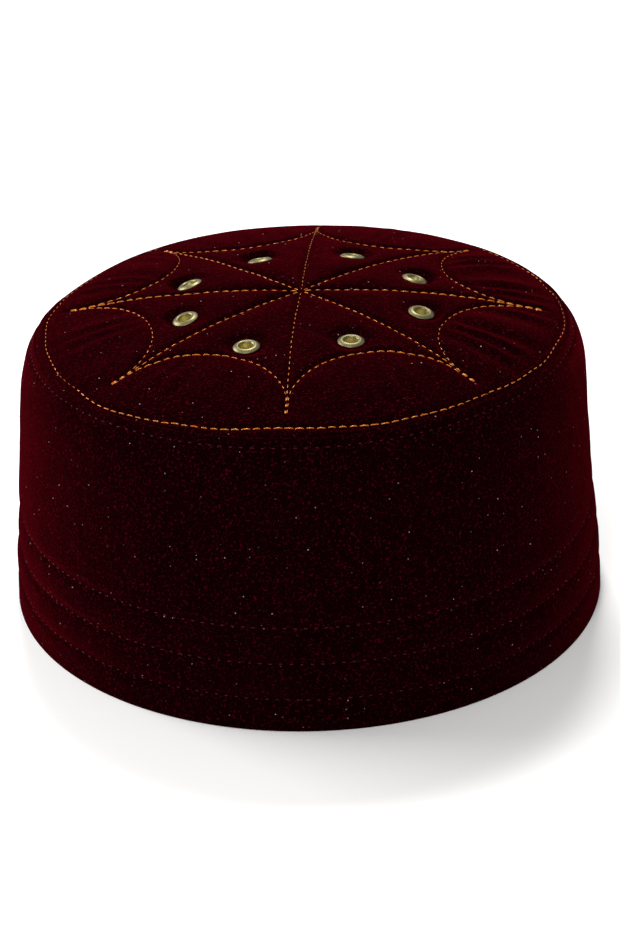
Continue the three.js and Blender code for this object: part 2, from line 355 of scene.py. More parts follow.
@dataclass(frozen=True)
class WovenBacking(Finish):
    """Plain-woven cotton ground of the velvet, seen inside the hat."""

    # Loose ends of cotton scatter the light, so it is matt and dry, with a fine grid of threads, and
    # the gaps between them are darker by painted shade. The real ground has about 25 threads a
    # centimetre and is drawn with half as many, so that they show.
    name: str = "woven_cotton_backing"
    thread: str = "#3B0910"
    # Painted shade: the colour in the gaps between the threads.
    gap: str = "#1C0307"
    thread_pitch: float = 0.8
    bump_height: float = 0.12

    def shader(self, tree: Tree, place: Socket) -> Socket:
        """Builds crossing threads with painted shade in the gaps between them, and a few slubs.

        Args:
            tree: The finish's node tree.
            place: Coordinates of the surface.

        Returns:
            The shader.
        """
        grid_scale = 2 / (self.thread_pitch * MM)
        slub_scale = 1 / (2 * self.thread_pitch * MM)
        crossings = add_node(tree, "TexChecker", {"Vector": place, "Scale": grid_scale}, "Fac")
        slubs = add_node(tree, "TexNoise", {"Vector": place, "Scale": slub_scale, "Detail": 3.0})
        weave = add_node(tree, "Mix", {"Factor": 0.5, "A": crossings, "B": slubs})
        ends = {"Factor": weave, LOW_COLOUR: linear(self.gap), HIGH_COLOUR: linear(self.thread)}
        colour = add_node(tree, "Mix", ends, MIXED_COLOUR, data_type="RGBA")
        bump = add_node(
            tree, "Bump", {"Strength": 0.7, "Distance": self.bump_height * MM, "Height": weave}
        )
        return add_node(tree, "BsdfPrincipled", {
            "Base Color": colour, "Roughness": 0.9, "Specular IOR Level": 0.2, "Normal": bump,
        })


@dataclass(frozen=True)
class RayonThread(Finish):
    """Rayon thread, spun from smooth filaments and twisted."""

    # The long filaments lie side by side, so each stitch has a soft highlight along it, in
    # a paler tone of its own dye.
    name: str
    # Lit and shaded tones of one dye, mixed by a noise the size of a ply: painted light and shade.
    painted_lit_tone: str
    painted_shade_tone: str
    sparkle: str
    roughness: float
    gloss: float
    # Real plies are about 0.2 mm wide. They are drawn twice as wide, so that they show.
    ply: float = 0.45
    ply_height: float = 0.08

    def shader(self, tree: Tree, place: Socket) -> Socket:
        """Builds painted light and shade between the plies, from a lit and a shaded tone of the dye, and a
        lustrous surface.

        Args:
            tree: The finish's node tree.
            place: Coordinates of the surface.

        Returns:
            The shader.
        """
        # Painted light and shade: a ply-sized noise mixes the shaded tone into the lit one.
        plies, colour = self.mottle(tree, place, self.ply, (self.painted_shade_tone, self.painted_lit_tone), Detail=1.0)
        bump = add_node(
            tree, "Bump", {"Strength": 0.3, "Distance": self.ply_height * MM, "Height": plies}
        )
        return add_node(tree, "BsdfPrincipled", {
            "Base Color": colour,
            "Roughness": self.roughness,
            "IOR": 1.53,
            "Specular IOR Level": self.gloss,
            "Specular Tint": linear(self.sparkle),
            "Normal": bump,
        })


@dataclass(frozen=True)
class EyeletBrass(Finish):
    """Brass, stamped from sheet and dulled by age."""

    # Stamping leaves it smooth and tarnish dulls it, so its highlights are broad and soft. It
    # is paler where it is worn and browner where tarnish gathers.
    name: str
    worn: str
    tarnished: str
    blotch: float = 2.2
    roughness: float = 0.44
    smoother: float = 0.08
    rougher: float = 0.12
    pit_height: float = 0.05

    def shader(self, tree: Tree, place: Socket) -> Socket:
        """Builds tarnish in blotches over a softly polished metal.

        Args:
            tree: The finish's node tree.
            place: Coordinates of the surface.

        Returns:
            The shader.
        """
        blotches, colour = self.mottle(
            tree, place, self.blotch, (self.worn, self.tarnished), Detail=4.0
        )
        dulled = add_node(tree, "MapRange", {
            "Value": blotches, "To Min": self.roughness - self.smoother,
            "To Max": self.roughness + self.rougher,
        })
        bump = add_node(
            tree, "Bump", {"Strength": 0.15, "Distance": self.pit_height * MM, "Height": blotches}
        )
        return add_node(tree, "BsdfPrincipled", {
            "Base Color": colour, "Metallic": 1.0, "Roughness": dulled, "Normal": bump,
        })


@dataclass(frozen=True)
class PaperSweep(Finish):
    """Background paper, rolled matt."""

    # Its fibres lie evenly, so it is near-white with a mottle a hand wide that is barely seen.
    name: str = "pale_paper"
    light: str = "#FBFAF9"
    shade: str = "#F5F4F3"
    cloud: float = 167.0

    def shader(self, tree: Tree, place: Socket) -> Socket:
        """Returns the shader of near-white paper."""
        _, colour = self.mottle(tree, place, self.cloud, (self.light, self.shade))
        return add_node(tree, "BsdfPrincipled", {"Base Color": colour, "Roughness": 0.85})


def whole_round(count: int) -> np.ndarray:
    """Returns evenly spaced angles of a whole round."""
    return np.linspace(0, 2 * math.pi, count, endpoint=False)


def on_circle(radius: np.ndarray, angle: np.ndarray, height: np.ndarray) -> np.ndarray:
    """Returns points at a radius, an angle and a height."""
    radius, angle, height = np.broadcast_arrays(radius, angle, height)
    return np.stack([radius * np.cos(angle), radius * np.sin(angle), height], axis=-1)


def degrees_from(angle: np.ndarray, turn: float) -> np.ndarray:
    """Returns how many degrees each angle lies past a direction given in degrees."""
    return (np.degrees(angle) - turn + 180) % 360 - 180


def bell(away: np.ndarray, width: float) -> np.ndarray:
    """Returns a smooth rise: 1 at nought, and almost nothing two widths away."""
    return np.exp(-((away / width) ** 2))


def unit(vectors: np.ndarray) -> np.ndarray:
    """Returns vectors of length 1 in the same directions."""
    return vectors / (np.linalg.norm(vectors, axis=-1, keepdims=True) + 1e-9)


def lumps(points: np.ndarray, patch: float) -> np.ndarray:
    """Evaluates smooth noise between about -1 and 1.

    Args:
        points: Places, with the coordinates in the last axis.
        patch: Size of a lump.

    Returns:
        One value for each place.
    """
    flat = (points.reshape(-1, 3) / patch).tolist()
    values = [noise.noise(Vector(place)) for place in flat]
    return np.array(values).reshape(points.shape[:-1])


def in_bay(bays: np.ndarray) -> tuple[np.ndarray, np.ndarray]:
    """Finds the bay that each place round the star is in.

    Args:
        bays: Place counted in bays from the front spoke.

    Returns:
        The bay's number, and how far across it the place lies.
    """
    bay = np.minimum(np.floor(bays), len(BAYS) - 1).astype(int)
    return bay, bays - bay


def make_mesh(
    name: str, points: np.ndarray, faces: list, slots: np.ndarray | None = None
) -> Piece:
    """Makes a smooth mesh object.

    Args:
        name: The piece's name.
        points: Its corners.
        faces: Corner numbers of each face.
        slots: Material slot of each face.

    Returns:
        The object, linked to the scene.
    """
    mesh = bpy.data.meshes.new(name)
    mesh.from_pydata((points * MM).tolist(), [], faces)
    mesh.polygons.foreach_set("use_smooth", [True] * len(mesh.polygons))
    if slots is not None:
        mesh.polygons.foreach_set("material_index", slots.astype("int32"))
    mesh.update()
    piece = bpy.data.objects.new(name, mesh)
    bpy.context.scene.collection.objects.link(piece)
    return piece


def quads(here: np.ndarray, there: np.ndarray) -> list[tuple[int, ...]]:
    """Joins rounds of corners to other rounds by four-cornered faces.

    Args:
        here: Corner numbers, with the last axis round the piece.
        there: Corner numbers of the rounds that they are joined to.

    Returns:
        The faces, in the corners' order.
    """
    corners = [here, np.roll(here, -1, axis=-1), np.roll(there, -1, axis=-1), there]
    return [tuple(quad) for quad in np.stack(corners, axis=-1).reshape(-1, 4).tolist()]


def tie(piece: Piece, slot: str, *materials: Material) -> None:
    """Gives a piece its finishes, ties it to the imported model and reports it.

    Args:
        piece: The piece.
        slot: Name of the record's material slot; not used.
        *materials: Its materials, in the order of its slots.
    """
    slots = piece.data.materials
    for number, material in enumerate(materials):
        if number < len(slots):
            slots[number] = material
        else:
            slots.append(material)
    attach(piece, "root")
    log.info("%s: %d faces", piece.name, len(piece.data.polygons))


@dataclass(frozen=True)
class HatForm:
    """The hat's outer shape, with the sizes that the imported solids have.

    Only the seam differs: here the cloth meets, with a slight overlap that lets no light in.
    """

    rim_radius: float = 95.5
    wall_height: float = 70.5
    wall_taper: float = 7.0
    wall_bulge: float = 0.5
    shoulder_rise: float = 19.8
    shoulder_depth: float = 8.5
    shoulder_fullness: float = 0.58
    crown_rise: float = 8.5
    crown_fullness: float = 2.5
    rise_right: float = 0.02
    rise_back: float = 0.02
    sway_left: float = 1.2
    sway_back: float = 0.5
    wall_thickness: float = 2.5
    crown_thickness: float = 3.0
    rim_round: float = 0.6
    seam_at: float = 0.84
    seam_gap: float = -0.1
    dent_depth: float = 1.6
    groove_depth: float = 0.6

    @property
    def shoulder_radius(self) -> float:
        """Radius where the wall turns into the shoulder."""
        return self.rim_radius - self.wall_taper

    @property
    def ring_radius(self) -> float:
        """Radius of the stitched ring on the crown."""
        return self.shoulder_radius - self.shoulder_depth

    @property
    def ring_height(self) -> float:
        """Height of the stitched ring."""
        return self.wall_height + self.shoulder_rise

    @property
    def full_height(self) -> float:
        """Height of the dome's top."""
        return self.ring_height + self.crown_rise

    def lean(self, points: np.ndarray) -> np.ndarray:
        """Leans the upright hat to the left and back, and lifts its right and its back.

        Args:
            points: Places on the upright hat.

        Returns:
            The places, leaned.
        """
        x, y, z = points[..., 0], points[..., 1], points[..., 2]
        share = z / self.full_height
        rise = share * (x * self.rise_right + y * self.rise_back)
        return np.stack([x - share * self.sway_left, y + share * self.sway_back, z + rise], axis=-1)

    def stand(self, spot: np.ndarray, height: np.ndarray) -> np.ndarray:
        """Returns places in plan at their heights, leaned."""
        return self.lean(np.concatenate([spot, np.asarray(height)[..., None]], axis=-1))

    def shoulder_point(self, at: np.ndarray, depth: np.ndarray, along: float = 0.0) -> np.ndarray:
        """Finds places in the shoulder's section.

        Args:
            at: How far along the shoulder, from 0 at the wall to 1 at the ring.
            depth: Depth square to the cloth's face.
            along: Extra distance along the face.

        Returns:
            Radius and height of each place.
        """
        foot = np.array([self.shoulder_radius, self.wall_height])
        head = np.array([self.ring_radius, self.ring_height])
        wall = np.array([-self.wall_taper - math.pi * self.wall_bulge, self.wall_height])
        dome = np.array([self.ring_radius, -self.crown_fullness * self.crown_rise])
        first = foot + unit(wall) * self.shoulder_fullness * self.shoulder_rise
        second = head + unit(dome) * self.shoulder_fullness * self.shoulder_depth
        t = np.asarray(at, dtype=float)[..., None]
        place = foot * (1 - t) ** 3 + 3 * first * t * (1 - t) ** 2
        place = place + 3 * second * t**2 * (1 - t) + head * t**3
        run = (first - foot) * (1 - t) ** 2 + 2 * (second - first) * t * (1 - t)
        tangent = unit(run + (head - second) * t**2)
        inward = np.stack([-tangent[..., 1], tangent[..., 0]], axis=-1)
        return place + tangent * along + inward * np.asarray(depth, dtype=float)[..., None]

    def wall_point(self, height: np.ndarray, depth: float) -> np.ndarray:
        """Finds places in the wall's section.

        Args:
            height: Height of each place.
            depth: Depth in the cloth.

        Returns:
            Radius and height of each place.
        """
        height = np.asarray(height, dtype=float)
        share = height / self.wall_height
        bulge = self.wall_bulge * np.sin(np.pi * np.clip(share, 0, 1))
        radius = self.rim_radius - self.wall_taper * share + bulge - depth
        return np.stack(np.broadcast_arrays(radius, height), axis=-1)

    def dent_at(self, angle: np.ndarray, height: np.ndarray) -> np.ndarray:
        """Measures how far the dents push the cloth in.

        Args:
            angle: Angle of each place.
            height: Its height.

        Returns:
            The push inward at each place.
        """
        total = np.zeros(np.broadcast(angle, height).shape)
        for dent in DENTS:
            side = bell(degrees_from(angle, dent.turn), dent.spread)
            up = bell(height / self.full_height - dent.height, dent.tall)
            total += dent.push * self.dent_depth * side * up
        return total

    def dome_height(self, spot: np.ndarray) -> np.ndarray:
        """Returns the height of the plain dome over places in plan."""
        share = np.linalg.norm(spot, axis=-1) / self.ring_radius
        return self.ring_height + self.crown_rise * (1 - share**self.crown_fullness)


@dataclass
class SideBand:
    """The upright wall: its outside of pile, the turned rim and the plain inside."""

    form: HatForm
    columns: int = 560
    outside_rows: int = 118
    inside_rows: int = 14
    band_heights: tuple[float, ...] = (10.3, 21.8, 33.3)
    band_puff: float = 0.2
    puff_from_row: float = 5.0
    puff_width: float = 4.0
    pull_unevenness: float = 0.25
    row_wander: float = 0.35
    row_wobble: float = 0.25
    shoulder_row_at: float = 0.66
    shoulder_row_pull: float = 0.8
    crease_width: float = 1.5
    shoulder_crease_width: float = 0.9
    seam_tuck: float = 0.25
    seam_tuck_from: float = 0.96
    seam_allowance_depth: float = 1.6
    back_seam_depth: float = 0.5
    back_seam_width: float = 1.0
    slack: float = 0.28
    slack_patch: float = 26.0
    crush: float = 0.17
    crush_patch: float = 8.0

    def section(self, share: np.ndarray) -> tuple[np.ndarray, np.ndarray]:
        """Finds places on the outside's section, without stitching.

        Args:
            share: From 0 just above the rim to 1 at the crown's seam.

        Returns:
            Radius and height of each place, and how far along the shoulder it lies.
        """
        form = self.form
        split = form.wall_height / (form.wall_height + form.shoulder_rise)
        height = form.rim_round + (form.wall_height - form.rim_round) * share / split
        at = np.clip((share - split) / (1 - split), 0, 1) * form.seam_at
        on_wall = (share <= split)[..., None]
        wall = form.wall_point(np.minimum(height, form.wall_height), 0)
        return np.where(on_wall, wall, form.shoulder_point(at, np.zeros_like(at))), at

    def relief(self, angle: np.ndarray, height: np.ndarray, at: np.ndarray) -> np.ndarray:
        """Measures how deep the stitched rows and the seams press into the face.

        Args:
            angle: Angle of each place.
            height: Its height.
            at: How far along the shoulder it lies.

        Returns:
            Depth at each place.
        """
        form = self.form
        wander = self.row_wander * np.sin(3 * angle + 1.0) + self.row_wobble * np.sin(7 * angle)
        depth = np.zeros(np.broadcast(angle, height).shape)
        for row in self.band_heights:
            away = height - row - wander
            pull = form.groove_depth * (1 + self.pull_unevenness * np.sin(5 * angle + row))
            depth += pull * bell(away, self.crease_width)
            depth -= self.band_puff * bell(np.abs(away) - self.puff_from_row, self.puff_width)
        above_row = height - form.shoulder_point(self.shoulder_row_at, 0.0)[1]
        pull = self.shoulder_row_pull * form.groove_depth
        depth += pull * bell(above_row, self.shoulder_crease_width)
        tucked = (at / form.seam_at - self.seam_tuck_from) / (1 - self.seam_tuck_from)
        depth += self.seam_tuck * np.clip(tucked, 0, 1) ** 2
        from_back_seam = np.radians(degrees_from(angle, 90)) * form.rim_radius
        return depth + self.back_seam_depth * bell(from_back_seam, self.back_seam_width)

    def place(self, angle: np.ndarray, share: np.ndarray) -> np.ndarray:
        """Finds places on the finished outside face.

        Args:
            angle: Angle of each place.
            share: From 0 at the rim to 1 at the crown's seam.

        Returns:
            The points.
        """
        form = self.form
        angle, share = np.broadcast_arrays(angle, share)
        section, at = self.section(share)
        radius, height = section[..., 0], section[..., 1]
        plain = on_circle(radius, angle, height)
        above_rim = np.clip(height / self.band_heights[0], 0, 1)
        depth = self.relief(angle, height, at)
        depth -= self.slack * lumps(plain, self.slack_patch) + self.crush * lumps(plain, self.crush_patch)
        slope = 0.75 * 0.5 * math.pi * np.clip(at / form.seam_at, 0, 1)
        out = radius - above_rim * (form.dent_at(angle, height) + depth * np.cos(slope))
        return form.lean(on_circle(out, angle, height - depth * np.sin(slope)))

    def inside(self, angle: np.ndarray) -> list[np.ndarray]:
        """Traces the plain inside, from the crown's seam down to the rim.

        Args:
            angle: Angles of a whole round.

        Returns:
            The loops of the inside.
        """
        form = self.form
        gap = -form.seam_gap / 2
        sections = [form.shoulder_point(form.seam_at, self.seam_allowance_depth, gap)]
        for at in np.linspace(form.seam_at, 0, self.inside_rows // 2):
            sections.append(form.shoulder_point(at, form.wall_thickness, gap))
        for height in np.linspace(form.wall_height, form.rim_round, self.inside_rows // 2)[1:]:
            sections.append(form.wall_point(height, form.wall_thickness))
        loops = []
        for radius, height in sections:
            above_rim = min(1.0, height / self.band_heights[0])
            out = radius - above_rim * form.dent_at(angle, height)
            loops.append(form.lean(on_circle(out, angle, height)))
        return loops

    def rim(self, angle: np.ndarray) -> list[np.ndarray]:
        """Traces the flat underside of the turned rim and its rounded corner.

        Args:
            angle: Angles of a whole round.

        Returns:
            The loops of the rim, from the inside out.
        """
        form = self.form
        loops = [on_circle(form.rim_radius - form.wall_thickness + form.rim_round, angle, 0.0)]
        for turn in (90, 60, 30):
            corner = form.rim_round * (1 - math.cos(math.radians(turn)))
            drop = form.rim_round * (1 - math.sin(math.radians(turn)))
            loops.append(on_circle(form.rim_radius - corner, angle, drop))
        return loops

    def build(self) -> Piece:
        """Builds the wall as one closed loop of cloth turned round the hat.

        Returns:
            The object, with pile and backing in two slots.
        """
        angle = whole_round(self.columns)
        outside = [self.place(angle, share) for share in np.linspace(0, 1, self.outside_rows)]
        pile = [*self.rim(angle), *outside]
        loops = [*pile, *self.inside(angle)]
        points = np.concatenate(loops)
        numbers = np.arange(len(points)).reshape(len(loops), self.columns)
        cloth = np.full(len(loops), Cloth.PILE.value)
        cloth[len(pile) :] = Cloth.BACKING.value
        faces = quads(numbers, np.roll(numbers, -1, axis=0))
        return make_mesh("side_band_velvet", points, faces, np.repeat(cloth, self.columns))

    def dress(self, wall: Piece, pile: Material, backing: Material) -> None:
        """Dresses the wall in pile outside and backing inside."""
        tie(wall, "velvet", pile, backing)
        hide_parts("side_band")

    def lines(self) -> list[SewnLine]:
        """Traces the stitched rows, the three above the rim and the one under the crown.

        Returns:
            The rows, each a whole round.
        """
        tries, next_above = 4001, 0.004
        shares = np.linspace(0, 1, tries)
        section, at = self.section(shares)
        misses = [section[:, 1] - row for row in self.band_heights]
        misses.append(at - self.shoulder_row_at)
        angle = np.arange(0, 2 * math.pi, 0.01)
        lines = []
        for miss in misses:
            share = shares[np.abs(miss).argmin()]
            here = self.place(angle, share)
            above = self.place(angle, share + next_above)
            outward = np.cross(np.roll(here, -1, axis=0) - here, above - here)
            lines.append(SewnLine(here, unit(outward), True))
        return lines


@dataclass
class CrownTop:
    """The quilted crown disc: star, scallops and border, the seam's edge and the underside."""

    form: HatForm
    columns: int = 480
    star_rows: int = 80
    border_rows: int = 44
    under_rows: int = 26
    star_margin: float = 4.5
    scallop_depth: float = 28.0
    star_shift: tuple[float, float] = (0.7, 0.9)
    puff: float = 0.9
    pucker_depth: float = 0.5
    puckers: float = 5.6
    groove_width: float = 1.1
    ring_wave: float = 0.15
    ring_waves: int = 23
    thread_gap: float = 0.34
    path_step: float = 0.4
    eyelet_inset: float = 9.3
    eyelet_press: float = 0.2
    pit_depth: float = 0.9
    pit_radius: float = 7.0
    clamped_radius: float = 4.3
    dimple_radius: float = 7.6
    clamp_clearance: float = 0.03
    hole_radius: float = 2.6
    hole_sides: int = 32
    grip: float = 1.8
    crush: float = 0.17
    crush_patch: float = 8.0

    @property
    def middle(self) -> np.ndarray:
        """The star's middle in plan."""
        return np.array(self.star_shift)

    @property
    def star_radius(self) -> float:
        """Reach of a spoke with a share of 1."""
        return self.form.ring_radius - self.star_margin

    @property
    def scallop_reach(self) -> float:
        """Distance from the star's middle to the scallops' nearest points."""
        return self.star_radius - self.scallop_depth

    def star_angle(self, bays: np.ndarray, share: float = 1.0) -> np.ndarray:
        """Finds the star's direction at places round it.

        Args:
            bays: Place counted in bays from the front spoke.
            share: From 0 at the star's middle, where the spokes' bends are full, to 1.

        Returns:
            The angles.
        """
        spokes = (*SPOKES, SPOKES[0])
        turns = np.radians([spoke.turn + spoke.bend * (1 - share) for spoke in spokes])
        return FRONT + BAY_TURN * bays + np.interp(bays, np.arange(len(turns)), turns)

    def scallop_radius(self, bays: np.ndarray) -> np.ndarray:
        """Measures the distance from the star's middle to the scalloped line.

        Each scallop is a circle that touches both spokes of its bay.

        Args:
            bays: Place counted in bays from the front spoke.

        Returns:
            The distance at each place.
        """
        bay, across = in_bay(bays)
        off = (across - 0.5) * BAY_TURN
        half = math.sin(BAY_TURN / 2)
        centre = self.scallop_reach * np.array([b.scallop for b in BAYS])[bay] / (1 - half)
        reach = np.maximum(0, (centre * half) ** 2 - (centre * np.sin(off)) ** 2)
        return centre * np.cos(off) - np.sqrt(reach)

    def ray(self, angle: np.ndarray) -> np.ndarray:
        """Returns unit directions in plan."""
        return np.stack([np.cos(angle), np.sin(angle)], axis=-1)

    def spot(self, zone: Zone, share: float, bays: np.ndarray) -> np.ndarray:
        """Finds places on the crown in plan.

        Args:
            zone: The star, from its middle to the scallops, or the border, out to the ring.
            share: How far across the zone.
            bays: Place counted in bays from the front spoke.

        Returns:
            X and Y of each place.
        """
        angle = self.star_angle(bays, share if zone is Zone.STAR else 1.0)
        ray = self.ray(angle)
        scallop = self.middle + ray * self.scallop_radius(bays)[..., None]
        if zone is Zone.STAR:
            return self.middle + (scallop - self.middle) * share
        dent = self.form.dent_at(angle, self.form.ring_height)
        return scallop + (ray * (self.form.ring_radius - dent)[..., None] - scallop) * share

    def eyelet_spot(self, k: int) -> np.ndarray:
        """Finds the middle of an eyelet in plan.

        Args:
            k: The bay that it is in.

        Returns:
            X and Y.
        """
        angle = FRONT + BAY_TURN * (k + 0.5) + math.radians(BAYS[k].turn)
        reach = (self.scallop_reach - self.eyelet_inset) * BAYS[k].reach
        return self.middle + reach * self.ray(angle)

    def pit(self, spot: np.ndarray) -> np.ndarray:
        """Measures how far the eyelets draw the cloth down.

        Args:
            spot: Places in plan.

        Returns:
            Depth at each place.
        """
        total = np.zeros(spot.shape[:-1])
        for k in range(len(BAYS)):
            away = np.linalg.norm(spot - self.eyelet_spot(k), axis=-1)
            total += self.pit_depth * bell(away, self.pit_radius)
        return total

    def seat(self, k: int) -> Matrix:
        """Finds where an eyelet sits: square to the dome, then tilted outward.

        Args:
            k: The bay that it is in.

        Returns:
            The turn and place of the underside of its flange.
        """
        form = self.form
        spot = self.eyelet_spot(k)
        place = form.stand(spot, form.dome_height(spot) - self.pit(spot) - self.eyelet_press)
        steepness = (np.linalg.norm(spot) / form.ring_radius) ** (form.crown_fullness - 2)
        slope = form.crown_fullness * form.crown_rise * steepness / form.ring_radius**2
        normal = Vector((slope * spot[0] - form.rise_right, slope * spot[1] - form.rise_back, 1))
        turn = Vector((0, 0, 1)).rotation_difference(normal)
        out = spot - self.middle
        axis = Vector((-out[1], out[0], 0)).normalized()
        tilt = Matrix.Rotation(math.radians(BAYS[k].tilt), 4, axis)
        return Matrix.Translation(place.tolist()) @ tilt @ turn.to_matrix().to_4x4()

    def clamp(self, points: np.ndarray, below: float) -> np.ndarray:
        """Presses the cloth flat where an eyelet grips it, with a soft dimple round it.

        Args:
            points: Places on one face of the cloth.
            below: Depth of that face under the flange's underside.

        Returns:
            The places, pressed.
        """
        points = points.copy()
        for k in range(len(BAYS)):
            seat = np.array(self.seat(k))
            place, normal = seat[:3, 3], seat[:3, 2]
            away = points - place
            flat = place[2] - (away[:, 0] * normal[0] + away[:, 1] * normal[1]) / normal[2] - below
            reach = np.linalg.norm(away[:, :2], axis=1)
            share = np.clip((self.dimple_radius - reach) / (self.dimple_radius - self.clamped_radius), 0, 1)
            held = share**2 * (3 - 2 * share)
            points[:, 2] += (flat - points[:, 2]) * held
        return points

    def scallop_path(self, k: int) -> np.ndarray:
        """Traces a scallop in plan, from one spoke's tip to the next one's.

        Args:
            k: The bay.

        Returns:
            X and Y of each point. Near the spokes the line keeps a thread's width beside them.
        """
        start, end = 1e-4, 1 - 1e-4
        curve = self.spot(Zone.STAR, 1.0, k + np.linspace(start, end, 240))
        pieces = []
        for number, side, share in ((k, 1, start), (k + 1, -1, end)):
            ray = self.ray(self.star_angle(float(number)))
            left = np.array([-ray[1], ray[0]]) * side
            tip = self.star_radius * SPOKES[number % len(SPOKES)].reach
            along = np.arange(tip, self.scallop_radius(np.array(k + share)), -self.path_step)[:, None]
            pieces.append(self.middle + ray * along + left * self.thread_gap)
            near = (curve - self.middle) @ left
            curve = curve + left * np.maximum(0, self.thread_gap - near)[:, None]
        return np.concatenate([pieces[0], curve, pieces[1][::-1]])

    def spoke_path(self, k: int) -> np.ndarray:
        """Traces a spoke in plan from its tip to the star's middle.

        Args:
            k: The spoke.

        Returns:
            X and Y of each point.
        """
        along = np.arange(self.star_radius * SPOKES[k].reach, 0.5, -self.path_step)
        shares = np.minimum(1, along / self.scallop_radius(np.array(float(k))))
        angles = [self.star_angle(float(k), float(share)) for share in shares]
        return self.middle + self.ray(np.array(angles)) * along[:, None]

    def ring_path(self, step: float) -> np.ndarray:
        """Traces the ring in plan, which strays a little as it was sewn over the padding.

        Args:
            step: Angle between two points.

        Returns:
            X and Y of each point.
        """
        angle = np.arange(0, 2 * math.pi, step)
        radius = self.form.ring_radius + self.ring_wave * np.sin(self.ring_waves * angle)
        for drift in RING_DRIFTS:
            radius += drift.out * bell(degrees_from(angle, drift.turn), drift.spread)
        radius -= self.form.dent_at(angle, self.form.ring_height)
        return self.ray(angle) * radius[:, None]

    def paths(self, ring_step: float) -> list[np.ndarray]:
        """Traces all stitched lines of the crown in plan.

        Args:
            ring_step: Angle between two points of the ring.

        Returns:
            The spokes, the scallops and last the ring.
        """
        spokes = [self.spoke_path(k) for k in range(len(SPOKES))]
        scallops = [self.scallop_path(k) for k in range(len(BAYS))]
        return [*spokes, *scallops, self.ring_path(ring_step)]

    def seams(self) -> KDTree:
        """Gathers all stitched lines, to find how near a place is to one.

        Returns:
            Their points in plan.
        """
        points = np.concatenate(self.paths(0.005)).tolist()
        tree = KDTree(len(points))
        for number, (x, y) in enumerate(points):
            tree.insert((x, y, 0), number)
        tree.balance()
        return tree

    def groove(self, spot: np.ndarray, seams: KDTree) -> np.ndarray:
        """Returns how deep the stitching presses into the cloth at places in plan."""
        away = np.array([seams.find((x, y, 0))[2] for x, y in spot.tolist()])
        return self.form.groove_depth * bell(away, self.groove_width)

    def folds(self, bays: np.ndarray) -> np.ndarray:
        """Shapes the puckers round the border, unevenly spaced in each bay.

        Args:
            bays: Place counted in bays from the front spoke.

        Returns:
            Their height at each place.
        """
        bay, across = in_bay(bays)
        strength = np.array([b.pucker for b in BAYS])[bay]
        # The odd factors keep the puckers of one bay unlike those of the next.
        drift = 0.3 * np.sin(2 * math.pi * (1.7 * across + 0.37 * bay))
        wave = np.sin(2 * math.pi * (self.puckers * across + drift + 0.61 * bay))
        return self.pucker_depth * strength * wave * np.sin(math.pi * across) ** 0.5

    def loop(self, zone: Zone, share: float, bays: np.ndarray, seams: KDTree) -> np.ndarray:
        """Builds one loop of the upper face.

        Args:
            zone: The star or the border.
            share: How far across the zone.
            bays: Place counted in bays from the front spoke.
            seams: The stitched lines.

        Returns:
            The loop's points.
        """
        spot = self.spot(zone, share, bays)
        _, across = in_bay(bays)
        swell = self.puff * np.sin(math.pi * across)
        if zone is Zone.BORDER:
            swell = swell + self.folds(bays)
        flat = np.concatenate([spot, np.zeros((len(spot), 1))], axis=1)
        height = self.form.dome_height(spot) - self.pit(spot) - self.groove(spot, seams)
        height += swell * math.sin(math.pi * share) + self.crush * lumps(flat, self.crush_patch)
        return self.clamp(self.form.stand(spot, height), self.clamp_clearance)

    def edge(self, at: float, depth: np.ndarray, bays: np.ndarray) -> np.ndarray:
        """Builds a loop of the rolled edge that meets the wall's seam.

        Args:
            at: How far along the shoulder.
            depth: Depth in the cloth.
            bays: Place counted in bays from the front spoke.

        Returns:
            The loop's points.
        """
        form = self.form
        angle = self.star_angle(bays)
        section = form.shoulder_point(at, np.broadcast_to(depth, angle.shape), form.seam_gap / 2)
        radius, height = section[:, 0], section[:, 1]
        return form.lean(on_circle(radius - form.dent_at(angle, height), angle, height))

    def underside(self, bays: np.ndarray) -> list[np.ndarray]:
        """Builds the underside, from the middle out.

        Args:
            bays: Place counted in bays from the front spoke.

        Returns:
            Its loops.
        """
        form = self.form
        loops = []
        for share in np.linspace(0.04, 1, self.under_rows):
            spot = self.spot(Zone.STAR, float(share), bays)
            leaned = form.stand(spot, form.dome_height(spot) - self.pit(spot) - form.crown_thickness)
            loops.append(self.clamp(leaned, self.grip - self.clamp_clearance))
        for share in (0.3, 0.6, 0.97):
            spot = self.spot(Zone.BORDER, share, bays)
            loops.append(form.stand(spot, form.dome_height(spot) - form.crown_thickness))
        return loops

    def build(self) -> Piece:
        """Builds the crown, from the underside's middle out to the seam and back over the top.

        Returns:
            The object, with pile and backing in two slots.
        """
        form = self.form
        bays = np.linspace(0, len(BAYS), self.columns, endpoint=False)
        seams = self.seams()
        loops = self.underside(bays)
        seam_depths = (form.crown_thickness, 1.6, 0.8)
        loops += [self.edge(form.seam_at, depth, bays) for depth in seam_depths]
        pile_from = len(loops) - 1
